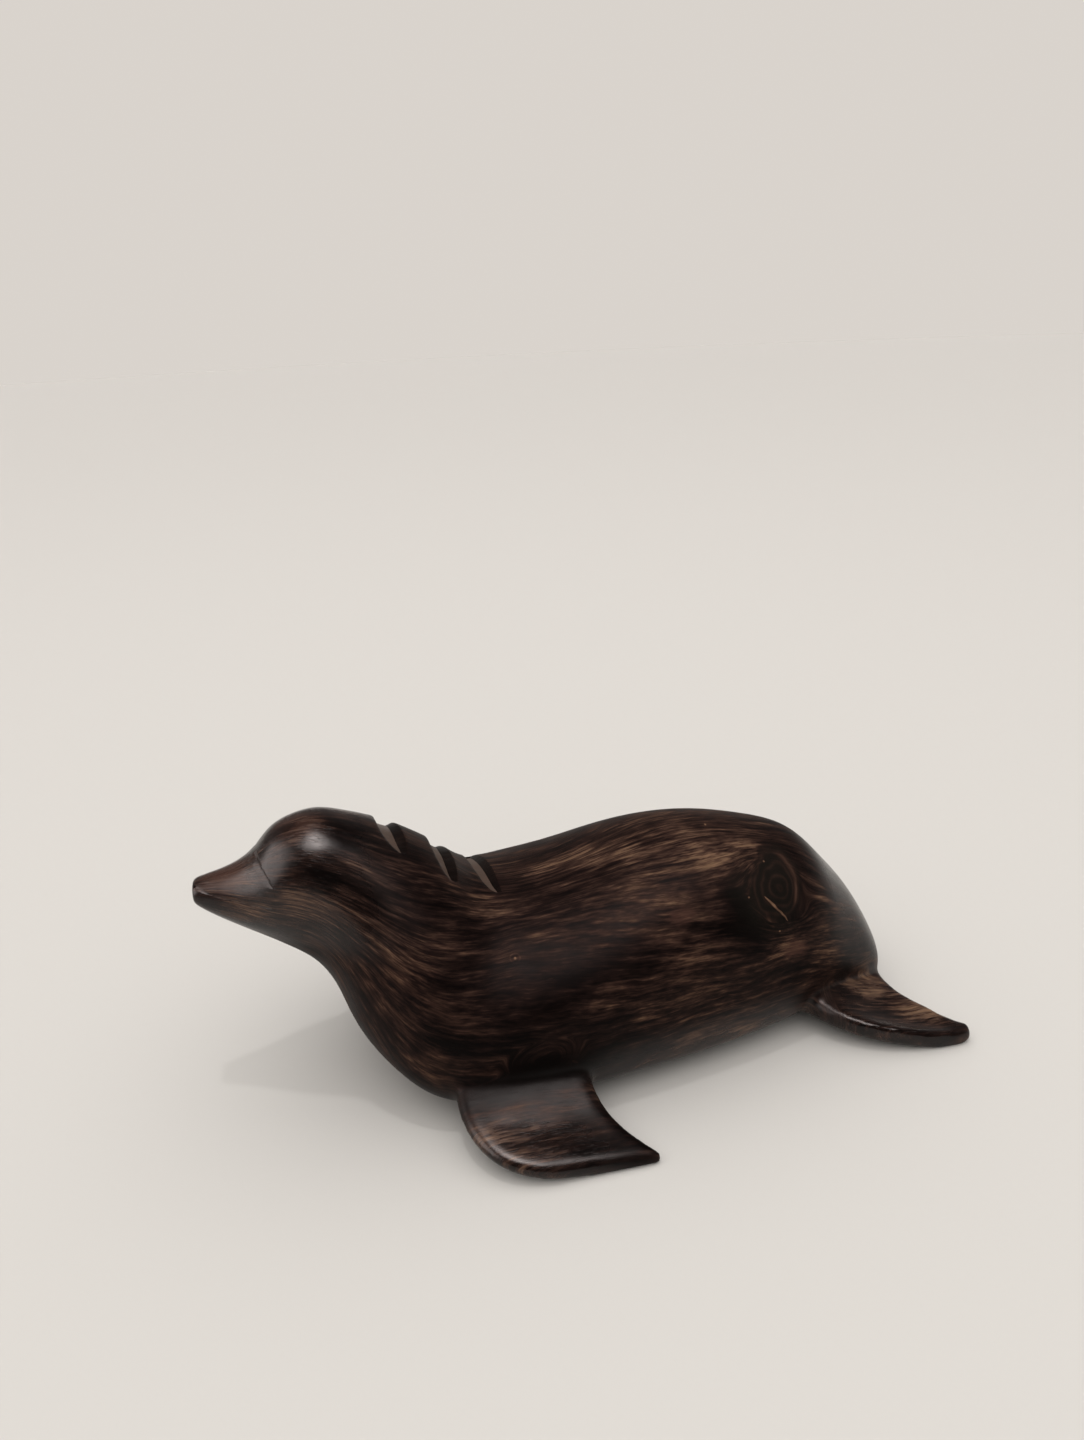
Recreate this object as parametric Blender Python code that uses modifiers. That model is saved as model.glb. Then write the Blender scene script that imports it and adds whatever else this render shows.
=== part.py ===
"""A sea lion carved from one block of dark, dense hardwood, resting on its four flippers.

The carving is one solid. Its length runs along X with the nose towards -X, its left side is -Y,
and it rests on Z = 0 with its origin below the middle of its box. The body is a loft of sections
that are leaned forward through the neck, the flippers are thin plates that grow out of it, and
the neck rolls, the eye creases, the mouth and the flat soles are cut last, as a carver cuts them.
"""

import math
from collections import namedtuple

import bmesh
import bpy
import numpy as np
from mathutils.bvhtree import BVHTree

MM = 0.001
SKY = 200.0

# Body sections, in mm. Each one lies in a plane across the body and runs from a point on the
# back to a point on the belly, given as (distance behind the nose, height above the table).
# widest is the share of the way up from the belly at which the section has its half width,
# and the two powers say how square it is above and below that line (2 is an ellipse).
Section = namedtuple("Section", "back belly half_width widest power_up power_down")
MUZZLE_TIP = Section((-1.8, 59.2), (-1.8, 54.6), 3.7, 0.50, 2.6, 2.6)
MUZZLE = Section((3.2, 60.3), (3.6, 50.0), 5.4, 0.50, 2.0, 2.2)
MUZZLE_ROOT = Section((9.5, 61.9), (10.5, 45.4), 8.1, 0.50, 2.0, 2.1)
EYE_LINE = Section((15.0, 65.2), (16.5, 41.5), 10.9, 0.52, 2.0, 2.0)
BROW = Section((20.0, 70.4), (21.5, 38.0), 13.4, 0.52, 2.0, 2.0)
FOREHEAD = Section((26.0, 73.1), (26.0, 34.2), 15.3, 0.54, 2.0, 2.0)
CROWN = Section((32.5, 73.7), (29.2, 29.8), 17.0, 0.55, 2.0, 2.0)
HEAD_BACK = Section((40.0, 71.3), (31.8, 24.5), 20.0, 0.50, 2.0, 2.1)
NAPE = Section((48.0, 67.6), (34.2, 17.8), 24.5, 0.44, 2.0, 2.3)
NECK = Section((56.0, 62.0), (38.2, 11.8), 30.0, 0.42, 2.0, 2.6)
SHOULDER = Section((63.8, 55.2), (44.5, 6.6), 35.5, 0.40, 2.0, 3.0)
CHEST = Section((72.5, 48.0), (54.5, 2.4), 39.0, 0.40, 2.0, 3.8)
RIBS = Section((84.0, 47.0), (71.0, 1.5), 40.5, 0.40, 2.1, 4.4)
WAIST = Section((96.0, 49.1), (90.0, 1.4), 40.0, 0.40, 2.1, 4.8)
BELLY = Section((109.0, 52.9), (107.0, 1.4), 38.0, 0.40, 2.1, 5.0)
LOINS = Section((122.0, 55.5), (122.0, 1.4), 35.5, 0.38, 2.1, 5.0)
HUMP = Section((136.0, 55.4), (137.0, 1.5), 32.5, 0.38, 2.1, 4.8)
HIP = Section((149.5, 52.7), (151.0, 1.8), 29.0, 0.38, 2.1, 4.4)
RUMP = Section((161.7, 48.3), (162.0, 2.6), 25.0, 0.38, 2.0, 3.8)
TAIL_BASE = Section((170.6, 39.3), (171.5, 3.4), 21.5, 0.34, 2.0, 2.8)
TAIL = Section((178.0, 29.8), (179.0, 4.2), 19.0, 0.30, 2.0, 2.4)
TAIL_END = Section((184.9, 17.0), (184.9, 5.0), 15.5, 0.38, 2.0, 2.1)
BODY = (
    MUZZLE_TIP, MUZZLE, MUZZLE_ROOT, EYE_LINE, BROW, FOREHEAD, CROWN, HEAD_BACK, NAPE, NECK,
    SHOULDER, CHEST, RIBS, WAIST, BELLY, LOINS, HUMP, HIP, RUMP, TAIL_BASE, TAIL, TAIL_END,
)
POINTS_PER_SIDE = 9

# Flipper stations, in mm, from the root inside the body out to the edge. front and rear are
# (distance behind the nose, distance from the middle), under and top are heights at the front,
# the middle and the rear of the station.
Station = namedtuple("Station", "front rear under top")
FRONT_FLIPPER = (
    Station((62.0, 24.0), (90.0, 24.0), (6.0, 6.0, 6.0), (22.0, 24.0, 22.0)),
    Station((57.0, 37.5), (91.2, 39.0), (7.5, 6.5, 5.0), (15.0, 15.5, 14.0)),
    Station((57.8, 45.0), (92.8, 46.5), (6.0, 3.0, 1.5), (10.5, 10.0, 8.5)),
    Station((60.2, 52.4), (96.6, 52.5), (4.5, 1.0, -0.6), (8.5, 7.2, 5.5)),
    Station((66.0, 59.2), (101.3, 58.3), (2.8, -0.6, -0.9), (6.3, 5.2, 3.8)),
    Station((76.5, 62.1), (105.6, 62.1), (0.8, -0.9, -0.9), (4.4, 3.8, 3.2)),
)
HIND_FLIPPER = (
    Station((150.0, 14.0), (180.0, 3.0), (5.0, 5.0, 5.0), (15.0, 17.0, 14.5)),
    Station((156.5, 26.5), (182.8, 13.5), (4.0, 4.0, 4.0), (10.5, 11.0, 8.8)),
    Station((162.3, 33.8), (184.8, 22.0), (3.6, 3.0, 2.6), (9.6, 6.8, 6.0)),
    Station((170.5, 39.2), (189.1, 28.6), (2.4, 1.0, 0.8), (9.0, 4.6, 5.9)),
    Station((181.0, 42.0), (192.9, 34.4), (0.6, -0.2, -0.2), (7.0, 3.9, 5.3)),
    Station((189.5, 42.9), (196.4, 38.5), (-0.9, -0.9, -0.9), (5.4, 4.1, 4.8)),
    Station((195.8, 42.4), (199.2, 39.9), (-0.9, -0.9, -0.9), (4.6, 4.3, 4.5)),
)
CHORD_SHARES = (0.0, 0.1, 0.3, 0.5, 0.7, 0.9, 1.0)

# Notches across the nape, in mm. Each row of a notch is (distance from the middle, place of its
# front rim, place of its rear rim, depth), from its left tip over the neck to its right tip.
NECK_NOTCHES = (
    (
        (8.3, 51.7, 52.3, 0.3), (7.2, 50.2, 53.0, 0.7), (4.5, 48.4, 53.3, 1.2), (0.5, 47.2, 53.1, 1.4),
        (-4.5, 46.5, 52.4, 1.4), (-10.5, 46.0, 51.2, 1.3), (-16.0, 46.6, 49.8, 0.8), (-19.0, 47.6, 48.6, 0.3),
    ),
    (
        (8.7, 63.9, 64.5, 0.3), (7.6, 62.8, 65.1, 0.7), (5.0, 61.9, 65.4, 1.2), (0.5, 60.9, 65.7, 1.5),
        (-4.5, 60.3, 65.6, 1.5), (-11.0, 59.9, 64.9, 1.4), (-18.0, 60.2, 63.9, 1.0), (-24.0, 61.6, 62.6, 0.3),
    ),
    (
        (6.5, 75.9, 76.5, 0.3), (5.2, 74.4, 76.6, 0.7), (1.5, 72.8, 76.5, 1.2), (-5.5, 71.4, 76.3, 1.4),
        (-12.5, 70.6, 75.7, 1.4), (-18.5, 70.2, 74.9, 1.3), (-25.0, 70.8, 73.6, 0.8), (-29.0, 72.0, 73.0, 0.3),
    ),
)
# A notch's floor lies between these shares of its width, and its walls run on outwards by overcut.
NOTCH_FLOOR = (0.24, 0.64)
NOTCH_OVERCUT = 2.5
NOTCH_STEPS = 29

# Eye creases and mouth, in mm. Each is a V groove through places on the skin, (distance behind the
# nose, distance from the middle, height), cut to a depth of bite.
Crease = namedtuple("Crease", "places bite")
EYE_CREASE = Crease(((15.6, 2.6, 66.3), (16.8, 6.4, 64.4), (18.0, 9.2, 62.4), (19.7, 12.0, 60.8)), 0.45)
MOUTH = Crease(
    ((-1.9, 0.3, 59.2), (0.8, 2.6, 58.4), (4.2, 4.4, 57.2), (9.9, 7.6, 56.0), (14.0, 9.6, 55.4), (19.0, 12.3, 55.2)), 0.4
)
BLADE_SLOPE = 0.7

# The saw cuts, in mm behind the nose, that leave a blunt muzzle and cut flipper tips.
MUZZLE_CUT = -0.7
TIP_CUT = 197.0

# Sanding and facets. The skin is smoothed on a fine grid before most of its facets are dropped.
VOXEL = 1.0
SANDING = 6
KEPT_SHARE = 0.092

WOOD_COLOUR = (0.022, 0.012, 0.009, 1.0)
WOOD_ROUGHNESS = 0.34


def place(behind_nose, side, height):
    """A point in metres, from millimetres behind the nose, to the left and above the table."""
    return ((behind_nose - (MUZZLE_CUT + TIP_CUT) / 2) * MM, -side * MM, height * MM)


def power(value, exponent):
    """A signed power, which bends a circle's sine or cosine into a squarer section."""
    return math.copysign(abs(value) ** (2.0 / exponent), value)


def section_points(section):
    """Half of a section, from its back round the left side to its belly."""
    back, belly = np.array(section.back), np.array(section.belly)
    points = []
    for step in range(POINTS_PER_SIDE):
        turn = math.pi * step / (POINTS_PER_SIDE - 1)
        side = section.half_width * power(math.sin(turn), section.power_up)
        rise = section.widest + (1.0 - section.widest) * power(math.cos(turn), section.power_up)
        if turn > math.pi / 2:
            side = section.half_width * power(math.sin(turn), section.power_down)
            rise = section.widest * (1.0 + power(math.cos(turn), section.power_down))
        behind_nose, height = belly + (back - belly) * rise
        points.append((behind_nose, side if 0 < step < POINTS_PER_SIDE - 1 else 0.0, height))
    return points


def surface_of(cage):
    """The points of a Catmull-Clark surface that a half cage of rings gives."""
    mirror = np.array((1.0, -1.0, 1.0))
    wide = np.concatenate((cage[:, 1:2] * mirror, cage, cage[:, -2:-1] * mirror), axis=1)
    wide = np.concatenate((2 * wide[:1] - wide[1:2], wide, 2 * wide[-1:] - wide[-2:-1]))
    smooth = (wide[:-2] + 4 * wide[1:-1] + wide[2:]) / 6
    return (smooth[:, :-2] + 4 * smooth[:, 1:-1] + smooth[:, 2:]) / 6


def cage_through(points):
    """Move a cage outwards until its subdivided surface passes through the given points."""
    cage = points.copy()
    for _ in range(8):
        cage += points - surface_of(cage)
    return cage


def mesh_object(name, points, faces, collection):
    mesh = bpy.data.meshes.new(name)
    mesh.from_pydata([place(*point) for point in points], [], faces)
    mesh.update()
    obj = bpy.data.objects.new(name, mesh)
    collection.objects.link(obj)
    return obj


def face_outwards(obj):
    bm = bmesh.new()
    bm.from_mesh(obj.data)
    bmesh.ops.recalc_face_normals(bm, faces=bm.faces)
    bm.to_mesh(obj.data)
    bm.free()


def as_cutter(obj):
    obj.hide_render = True
    obj.display_type = "WIRE"
    return obj


def subdivide(obj, levels):
    modifier = obj.modifiers.new("Round", "SUBSURF")
    modifier.levels = levels
    modifier.render_levels = levels


def mirror_sides(obj):
    modifier = obj.modifiers.new("Right side", "MIRROR")
    modifier.use_axis = (False, True, False)
    modifier.merge_threshold = 0.00005


def body(collection):
    """The loft of the body's left half, mirrored and rounded."""
    rings = cage_through(np.array([section_points(section) for section in BODY]))
    points = [tuple(point) for ring in rings for point in ring]
    n = POINTS_PER_SIDE
    faces = []
    for i in range(len(BODY) - 1):
        for j in range(n - 1):
            a = i * n + j
            faces.append((a, a + n, a + n + 1, a + 1))
    faces.append(tuple(range(n)))
    last = (len(BODY) - 1) * n
    faces.append(tuple(range(last + n - 1, last - 1, -1)))
    obj = mesh_object("seal_figurine", points, faces, collection)
    mirror_sides(obj)
    subdivide(obj, 3)
    return obj


def at_share(values, share):
    """A height at a share of the chord, on the parabola through front, middle and rear."""
    front, middle, rear = values
    bow = middle - (front + rear) / 2
    return front + (rear - front) * share + 4 * bow * share * (1 - share)


def flipper(name, stations, collection):
    """A closed plate through its stations, and its mirror image."""
    layers = ([], [])
    for station in stations:
        for share in CHORD_SHARES:
            x, y = (a + (b - a) * share for a, b in zip(station.front, station.rear))
            layers[0].append((x, y, at_share(station.under, share)))
            layers[1].append((x, y, at_share(station.top, share)))
    n, rows, layer = len(CHORD_SHARES), len(stations), len(layers[0])
    faces = []
    for i in range(rows - 1):
        for j in range(n - 1):
            a = i * n + j
            faces.append((a, a + n, a + n + 1, a + 1))
            faces.append((layer + a, layer + a + 1, layer + a + n + 1, layer + a + n))
    rim = [j for j in range(n)]
    rim += [i * n + n - 1 for i in range(1, rows)]
    rim += [(rows - 1) * n + j for j in range(n - 2, -1, -1)]
    rim += [i * n for i in range(rows - 2, 0, -1)]
    for a, b in zip(rim, rim[1:] + rim[:1]):
        faces.append((a, b, layer + b, layer + a))
    obj = mesh_object(name, layers[0] + layers[1], faces, collection)
    face_outwards(obj)
    mirror_sides(obj)
    subdivide(obj, 2)
    return as_cutter(obj)


def loft(name, outlines, collection):
    """A closed cutter through matching outlines, each a list of points."""
    n = len(outlines[0])
    points = [point for outline in outlines for point in outline]
    faces = [tuple(range(n)), tuple(range(len(points) - 1, len(points) - n - 1, -1))]
    for row in range(0, len(points) - n, n):
        faces += [(row + j, row + (j + 1) % n, row + n + (j + 1) % n, row + n + j) for j in range(n)]
    obj = mesh_object(name, points, faces, collection)
    face_outwards(obj)
    return as_cutter(obj)


def on_the_skin(found):
    """A place in mm and the outward direction there, from what a search on the skin gives."""
    location, normal = found[0], found[1]
    behind_nose = location.x / MM + (MUZZLE_CUT + TIP_CUT) / 2
    return np.array((behind_nose, -location.y / MM, location.z / MM)), np.array((normal.x, -normal.y, normal.z))


def neck_notch(name, rows, skin, collection):
    """A curved bar across the nape, whose section is the notch's floor and its two sloping walls."""
    places = np.linspace(rows[0][0], rows[-1][0], NOTCH_STEPS)
    sides, *values = (np.array(column)[::-1] for column in zip(*rows))
    outlines = []
    for side in places:
        front, rear, depth = (float(np.interp(side, sides, value)) for value in values)
        rims, directions = [], []
        for behind_nose in (front, rear):
            found = skin.ray_cast(place(behind_nose, side, SKY), (0, 0, -1))
            rim, direction = on_the_skin(found)
            rims.append(rim)
            directions.append(direction)
        inwards = -sum(directions) / np.linalg.norm(sum(directions))
        floor = [rims[0] + (rims[1] - rims[0]) * share + inwards * depth for share in NOTCH_FLOOR]
        walls = [(rim - foot) / np.linalg.norm(rim - foot) for rim, foot in zip(rims, floor)]
        tops = [rim + wall * NOTCH_OVERCUT for rim, wall in zip(rims, walls)]
        outlines.append([tuple(point) for point in (floor[0], floor[1], tops[1], tops[0])])
    return loft(name, outlines, collection)


def blade(name, crease, skin, collection):
    """A V groove's cutter along a crease, which thins out to nothing at its two ends."""
    outlines = []
    last = len(crease.places) - 1
    for index, wanted in enumerate(crease.places):
        spot, outwards = on_the_skin(skin.find_nearest(place(*wanted)))
        along = np.subtract(crease.places[min(index + 1, last)], crease.places[max(index - 1, 0)])
        across = np.cross(along / np.linalg.norm(along), outwards)
        bite = crease.bite * (0.25 if index in (0, last) else 1.0)
        top = spot + outwards * crease.bite * 2
        across = across * (bite + crease.bite * 2) * BLADE_SLOPE
        outlines.append([tuple(point) for point in (spot - outwards * bite, top + across, top - across)])
    obj = loft(name, outlines, collection)
    mirror_sides(obj)
    return obj


def trimming_block(collection):
    """The box that the carving may fill. Its floor cuts the soles flat."""
    reach = (TIP_CUT - MUZZLE_CUT) / 2
    ends = []
    for side in (-reach, reach):
        corners = ((MUZZLE_CUT, 0.0), (TIP_CUT, 0.0), (TIP_CUT, reach), (MUZZLE_CUT, reach))
        ends.append([(x, side, z) for x, z in corners])
    return loft("trimming_block", ends, collection)


def boolean(obj, other, operation):
    modifier = obj.modifiers.new(other.name, "BOOLEAN")
    modifier.operation = operation
    modifier.object = other
    modifier.solver = "EXACT"


def sand(obj):
    """Turn the joined forms into one skin with soft hollows."""
    skin = obj.modifiers.new("One skin", "REMESH")
    skin.mode = "VOXEL"
    skin.voxel_size = VOXEL * MM
    smooth = obj.modifiers.new("Sand", "SMOOTH")
    smooth.factor = 0.5
    smooth.iterations = SANDING


def drop_facets(obj):
    facets = obj.modifiers.new("Facets", "DECIMATE")
    facets.ratio = KEPT_SHARE


def wood():
    material = bpy.data.materials.new("Dark oiled hardwood")
    material.use_nodes = True
    shader = material.node_tree.nodes["Principled BSDF"]
    shader.inputs["Base Color"].default_value = WOOD_COLOUR
    shader.inputs["Roughness"].default_value = WOOD_ROUGHNESS
    material.diffuse_color = WOOD_COLOUR
    return material


def main():
    for obj in list(bpy.data.objects):
        bpy.data.objects.remove(obj)
    carving = bpy.data.collections.new("Seal figurine")
    cutters = bpy.data.collections.new("Cutters")
    bpy.context.scene.collection.children.link(carving)
    bpy.context.scene.collection.children.link(cutters)
    seal = body(carving)
    boolean(seal, flipper("front_flippers", FRONT_FLIPPER, cutters), "UNION")
    boolean(seal, flipper("hind_flippers", HIND_FLIPPER, cutters), "UNION")
    sand(seal)
    skin = BVHTree.FromObject(seal, bpy.context.evaluated_depsgraph_get())
    for number, notch in enumerate(NECK_NOTCHES, 1):
        boolean(seal, neck_notch(f"neck_notch_{number}", notch, skin, cutters), "DIFFERENCE")
    drop_facets(seal)
    boolean(seal, blade("eye_creases", EYE_CREASE, skin, cutters), "DIFFERENCE")
    boolean(seal, blade("mouth", MOUTH, skin, cutters), "DIFFERENCE")
    boolean(seal, trimming_block(cutters), "INTERSECT")
    seal.data.materials.append(wood())


main()
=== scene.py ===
"""The look of a sea lion carved from desert hardwood: its sanded skin, its figure and its light."""

import math

import bmesh
import bpy
import numpy as np
from mathutils import Matrix, Vector
from mathutils.bvhtree import BVHTree


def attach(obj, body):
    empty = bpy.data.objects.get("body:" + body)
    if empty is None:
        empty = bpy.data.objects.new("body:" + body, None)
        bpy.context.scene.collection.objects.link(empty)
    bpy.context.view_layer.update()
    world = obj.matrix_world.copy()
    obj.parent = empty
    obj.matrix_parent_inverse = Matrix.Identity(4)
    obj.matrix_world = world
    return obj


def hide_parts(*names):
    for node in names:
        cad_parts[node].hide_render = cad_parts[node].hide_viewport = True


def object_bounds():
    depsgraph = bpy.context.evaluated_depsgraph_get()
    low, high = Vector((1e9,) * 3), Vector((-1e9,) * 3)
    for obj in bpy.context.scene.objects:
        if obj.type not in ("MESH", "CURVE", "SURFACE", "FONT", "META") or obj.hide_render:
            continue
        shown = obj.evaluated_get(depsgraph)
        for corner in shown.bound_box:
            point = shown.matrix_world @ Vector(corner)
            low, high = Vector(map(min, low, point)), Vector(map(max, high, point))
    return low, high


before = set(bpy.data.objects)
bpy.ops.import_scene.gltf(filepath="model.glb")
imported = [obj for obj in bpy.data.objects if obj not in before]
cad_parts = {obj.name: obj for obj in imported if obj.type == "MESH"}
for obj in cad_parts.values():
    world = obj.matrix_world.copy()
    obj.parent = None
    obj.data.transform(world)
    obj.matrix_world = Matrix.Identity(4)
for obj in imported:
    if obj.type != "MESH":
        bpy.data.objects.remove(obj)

cad_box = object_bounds()
MM = 0.001

# The carving. The real piece is sawn from one billet of dense desert hardwood, shaped with rasps,
# and sanded until every facet is gone. Its skin is taken from the solid, closed up on a fine
# grid, and sanded in the same way. Lengths are millimetres in the whole script.
WELD_GAP = 0.002
SKIN_GRID = 0.75
SANDING_ROUNDS = 26
SANDING_IN, SANDING_OUT = 0.50, -0.51


def sanded(points, edges):
    """Smooth points by in-and-out rounds, which take off facets and keep the form's size."""
    count = len(points)
    neighbours = np.bincount(edges.ravel(), minlength=count)[:, None]
    for factor in (SANDING_IN, SANDING_OUT) * SANDING_ROUNDS:
        total = np.empty_like(points)
        for axis in range(3):
            total[:, axis] = np.bincount(edges[:, 0], points[edges[:, 1], axis], count)
            total[:, axis] += np.bincount(edges[:, 1], points[edges[:, 0], axis], count)
        points += factor * (total / neighbours - points)
    return points


def with_modifiers_applied(piece):
    """Turn a piece into the plain mesh that its modifiers give."""
    shown = piece.evaluated_get(bpy.context.evaluated_depsgraph_get())
    piece.data = bpy.data.meshes.new_from_object(shown)
    piece.modifiers.clear()


billet = bmesh.new()
billet.from_mesh(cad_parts["seal_figurine"].data)
bmesh.ops.remove_doubles(billet, verts=billet.verts, dist=WELD_GAP * MM)
rough_form = bpy.data.meshes.new("rough_form")
billet.to_mesh(rough_form)
billet.free()
seal = bpy.data.objects.new("carved_seal", rough_form)
bpy.context.scene.collection.objects.link(seal)
skin = seal.modifiers.new("Skin", "REMESH")
skin.mode = "VOXEL"
skin.voxel_size = SKIN_GRID * MM
with_modifiers_applied(seal)

skin_points = np.empty(len(seal.data.vertices) * 3)
seal.data.vertices.foreach_get("co", skin_points)
skin_edges = np.empty(len(seal.data.edges) * 2, np.int64)
seal.data.edges.foreach_get("vertices", skin_edges)
skin_points = sanded(skin_points.reshape(-1, 3), skin_edges.reshape(-1, 2))
skin_points = np.clip(skin_points, np.array(cad_box[0]), np.array(cad_box[1]))
seal.data.vertices.foreach_set("co", skin_points.ravel())

# The knife cuts. After sanding, the carver cut three notches across the nape, a crease behind
# each eye and the line of the mouth, and left their edges crisp. A place is given from the nose,
# from the middle (the animal's left is positive) and up from the table. The nose was a little
# longer before its end was cut blunt.
NOSE_CUT_OFF = 0.7
# A notch's rows go from its left tip over the neck: side, front rim, rear rim, depth.
NOTCHES = (
    (
        (8.3, 51.7, 52.3, 0.3), (7.2, 50.2, 53.0, 0.7), (4.5, 48.4, 53.3, 1.2),
        (0.5, 47.2, 53.1, 1.4), (-4.5, 46.5, 52.4, 1.4), (-10.5, 46.0, 51.2, 1.3),
        (-16.0, 46.6, 49.8, 0.8), (-19.0, 47.6, 48.6, 0.3),
    ),
    (
        (8.7, 63.9, 64.5, 0.3), (7.6, 62.8, 65.1, 0.7), (5.0, 61.9, 65.4, 1.2),
        (0.5, 60.9, 65.7, 1.5), (-4.5, 60.3, 65.6, 1.5), (-11.0, 59.9, 64.9, 1.4),
        (-18.0, 60.2, 63.9, 1.0), (-24.0, 61.6, 62.6, 0.3),
    ),
    (
        (6.5, 75.9, 76.5, 0.3), (5.2, 74.4, 76.6, 0.7), (1.5, 72.8, 76.5, 1.2),
        (-5.5, 71.4, 76.3, 1.4), (-12.5, 70.6, 75.7, 1.4), (-18.5, 70.2, 74.9, 1.3),
        (-25.0, 70.8, 73.6, 0.8), (-29.0, 72.0, 73.0, 0.3),
    ),
)
# A notch's floor, as shares of the way from the front rim to the rear rim, the number of
# sections along a notch, and how far above the skin the knife starts.
NOTCH_FLOOR = (0.20, 0.70)
NOTCH_STEPS = 61
NOTCH_OVERCUT = 2.5
# The solid has the same notches, cut plainer, so each is cut again a little wider and deeper. Its
# rims are carried on from the skin one and two margins outside it, found by plumb lines.
RIM_MARGIN = 0.9
FRONT_RECUT, REAR_RECUT, DEEPER = 0.25, 0.45, 0.25
PLUMB_HEIGHT = 200.0
# The creases from front to back. The blade is a wedge, a few times as high as its cut is deep, and
# a slope of 1 opens each of its sides by 45 degrees. A crease's tips are a share of its depth.
CREASES = {
    "eye_crease": (
        (15.4, 1.8, 66.4), (16.4, 5.0, 65.2), (17.3, 7.6, 63.6), (18.4, 9.8, 62.2),
        (19.8, 12.2, 60.8),
    ),
    "mouth": (
        (-1.9, 0.3, 59.2), (0.8, 2.6, 58.4), (4.2, 4.4, 57.2), (9.9, 7.6, 56.0),
        (14.0, 9.6, 55.4), (19.0, 12.3, 55.2),
    ),
}
CREASE_DEPTH = {"eye_crease": 0.45, "mouth": 0.18}
CREASE_SLOPE = {"eye_crease": 2.3, "mouth": 1.0}
CREASE_TIP = 0.2
BLADE_HEIGHT = 3.0
# Where the nose's end is cut square behind the solid's tip, and the block that is cut away.
NOSE_END = 0.3
NOSE_BLOCK = ((-9.0, 50.0), (9.0, 50.0), (9.0, 68.0), (-9.0, 68.0))
NOSE_BLOCK_LENGTH = 5.0
# How far under the sanded skin a cut face lies, how near to a notch's floor, how far behind the
# nose the notches start, and the angle in degrees from which a knifed edge is crisp.
CARVED_UNDER = 0.10
NEAR_FLOOR = 0.02
CARVED_FROM = 40.0
CRISP_ANGLE = 35.0


def place(behind_nose, side, height):
    """A place in millimetres in the figurine's own frame."""
    return Vector((cad_box[0].x / MM + NOSE_CUT_OFF + behind_nose, -side, height))


def knife(name, outlines):
    """A closed cutter through matching outlines in millimetres, cut out of the carving."""
    count = len(outlines[0])
    cut = bmesh.new()
    corners = [cut.verts.new(corner * MM) for outline in outlines for corner in outline]
    cut.faces.new(corners[:count])
    cut.faces.new(corners[:-count - 1:-1])
    for row in range(0, len(corners) - count, count):
        for index in range(count):
            after = (index + 1) % count
            cut.faces.new((
                corners[row + index], corners[row + after],
                corners[row + count + after], corners[row + count + index],
            ))
    bmesh.ops.recalc_face_normals(cut, faces=cut.faces)
    mesh = bpy.data.meshes.new(name)
    cut.to_mesh(mesh)
    cut.free()
    tool = bpy.data.objects.new(name, mesh)
    bpy.context.scene.collection.objects.link(tool)
    carve = seal.modifiers.new(name, "BOOLEAN")
    carve.operation = "DIFFERENCE"
    carve.solver = "EXACT"
    carve.object = tool
    return tool


def rim_of_notch(behind_nose, side, away):
    """Where a rim lies, carried on from the uncut skin just outside the notch."""
    near, far = (
        sanded_skin.ray_cast(
            place(behind_nose + away * RIM_MARGIN * step, side, PLUMB_HEIGHT) * MM, Vector((0, 0, -1))
        )
        for step in (1, 2)
    )
    return near[0] / MM + (near[0] - far[0]) / MM, near[1]


sanded_skin = BVHTree.FromObject(seal, bpy.context.evaluated_depsgraph_get())
tools, floor_corners, floor_strips = [], [], []
for number, rows in enumerate(NOTCHES, 1):
    row_sides, *columns = (np.array(column)[::-1] for column in zip(*rows))
    outlines = []
    for side in np.linspace(rows[0][0], rows[-1][0], NOTCH_STEPS):
        front, rear, depth = (float(np.interp(side, row_sides, column)) for column in columns)
        front_rim, front_out = rim_of_notch(front - FRONT_RECUT, side, -1)
        rear_rim, rear_out = rim_of_notch(rear + REAR_RECUT, side, 1)
        inwards = -(front_out + rear_out).normalized() * (depth + DEEPER)
        bed = [front_rim.lerp(rear_rim, share) + inwards for share in NOTCH_FLOOR]
        tops = [
            rim + (rim - foot).normalized() * NOTCH_OVERCUT
            for rim, foot in zip((front_rim, rear_rim), bed)
        ]
        outlines.append((bed[0], bed[1], tops[1], tops[0]))
        last = len(floor_corners)
        floor_corners += [corner * MM for corner in bed]
        if len(outlines) > 1:
            floor_strips.append((last - 2, last - 1, last + 1, last))
    tools.append(knife(f"notch_{number}", outlines))
for name, places in CREASES.items():
    for left in (1, -1):
        spots = [place(x, side * left, z) for x, side, z in places]
        outlines = []
        for index, spot in enumerate(spots):
            skin_at, skin_out = sanded_skin.find_nearest(spot * MM)[:2]
            along = (spots[min(index + 1, len(spots) - 1)] - spots[max(index - 1, 0)]).normalized()
            is_tip = index in (0, len(spots) - 1) and spot.x > cad_box[0].x / MM
            bite = CREASE_DEPTH[name] * (CREASE_TIP if is_tip else 1.0)
            edge = skin_at / MM - skin_out * bite
            top = edge + skin_out * bite * BLADE_HEIGHT
            across = along.cross(skin_out).normalized() * bite * BLADE_HEIGHT * CREASE_SLOPE[name]
            outlines.append((edge, top + across, top - across))
        tools.append(knife(f"{name}_{'left' if left > 0 else 'right'}", outlines))
nose_end = cad_box[0].x / MM + NOSE_END
tools.append(knife("nose_end", [
    [Vector((x, side, height)) for side, height in NOSE_BLOCK]
    for x in (nose_end - NOSE_BLOCK_LENGTH, nose_end)
]))
with_modifiers_applied(seal)
for tool in tools:
    bpy.data.objects.remove(tool)

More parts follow.
